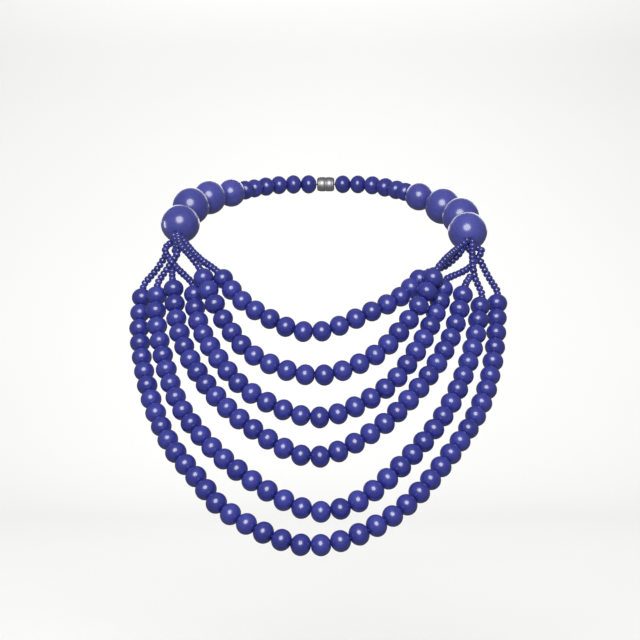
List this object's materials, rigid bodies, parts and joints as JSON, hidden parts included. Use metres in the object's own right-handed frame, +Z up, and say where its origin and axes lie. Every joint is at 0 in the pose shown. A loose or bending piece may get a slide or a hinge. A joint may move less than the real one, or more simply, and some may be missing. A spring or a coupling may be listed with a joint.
{
  "type": "beaded necklace",
  "caption": "Bib necklace of round painted wood beads in nested strands, gathered by seed beads into large beads that go up round the neck.",
  "frame": {"origin": "where the clasp rests on the nape of the neck, on its inner side", "axes": "+Z up as worn, +Y backwards from the wearer's chest to the nape, +X to the viewer's right from the front"},
  "size_m": [0.2371, 0.2433, 0.2325],
  "materials": {
    "main_beads": "satin violet-blue paint over turned wood",
    "large_beads": "smooth satin violet-blue paint over turned wood",
    "seed_beads": "gloss, opaque",
    "thread": "twisted waxed thread",
    "clasp": "satin"
  },
  "bodies": {
    "root": {"strand_1": "main_beads", "strand_2": "main_beads", "strand_3": "main_beads", "strand_4": "main_beads", "strand_5": "main_beads", "strand_6": "main_beads", "left_large_bead_1": "large_beads", "left_large_bead_2": "large_beads", "left_large_bead_3": "large_beads", "left_large_bead_4": "large_beads", "left_neck_cord": "thread", "left_back_beads": "main_beads", "left_seed_strands": "seed_beads", "right_large_bead_1": "large_beads", "right_large_bead_2": "large_beads", "right_large_bead_3": "large_beads", "right_large_bead_4": "large_beads", "right_neck_cord": "thread", "right_back_beads": "main_beads", "right_seed_strands": "seed_beads", "clasp": "clasp"}
  },
  "joints": []
}
